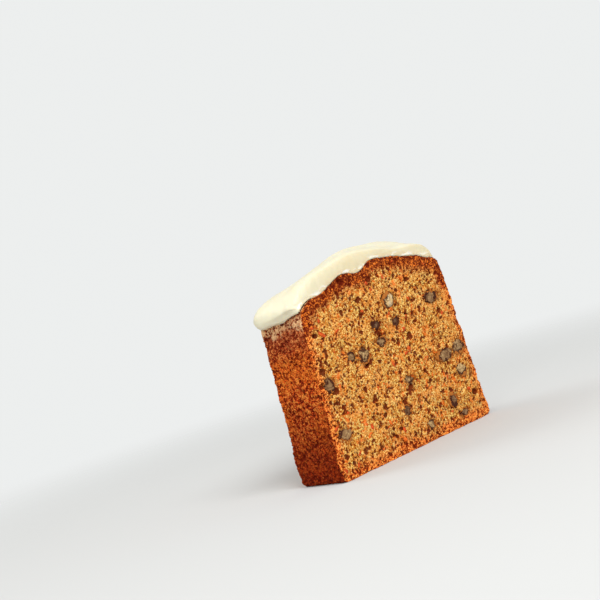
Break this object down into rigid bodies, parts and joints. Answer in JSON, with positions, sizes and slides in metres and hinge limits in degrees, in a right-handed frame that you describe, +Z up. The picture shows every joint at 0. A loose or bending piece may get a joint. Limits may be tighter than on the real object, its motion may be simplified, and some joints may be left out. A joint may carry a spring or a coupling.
{
  "type": "carrot loaf cake slice",
  "caption": "Slice cut straight across a frosted carrot loaf cake with walnut pieces, standing on its bottom crust.",
  "frame": {"origin": "middle of the slice's base, centred across its width and its thickness", "axes": "+X across the slice from left to right seen from the front cut face, +Y from the front cut face to the back one, +Z up from the bottom crust to the frosting"},
  "size_m": [0.103, 0.0278, 0.0939],
  "materials": {
    "cake": "porous orange-brown carrot cake crumb with a darker browned crust",
    "frosting": "smooth ivory cream cheese frosting with a soft moist sheen",
    "walnut": "grey-brown cut walnut with a darker skin"
  },
  "bodies": {
    "root": {"cake_slice": "cake", "frosting": "frosting", "walnut_front_01": "walnut", "walnut_front_02": "walnut", "walnut_front_03": "walnut", "walnut_front_04": "walnut", "walnut_front_05": "walnut", "walnut_front_06": "walnut", "walnut_front_07": "walnut", "walnut_front_08": "walnut", "walnut_front_09": "walnut", "walnut_front_10": "walnut", "walnut_front_11": "walnut", "walnut_front_12": "walnut", "walnut_front_13": "walnut", "walnut_front_14": "walnut", "walnut_front_15": "walnut", "walnut_front_16": "walnut", "walnut_front_17": "walnut", "walnut_back_01": "walnut", "walnut_back_02": "walnut", "walnut_back_03": "walnut", "walnut_back_04": "walnut", "walnut_back_05": "walnut", "walnut_back_06": "walnut", "walnut_back_07": "walnut", "walnut_back_08": "walnut", "walnut_back_09": "walnut"}
  },
  "joints": []
}
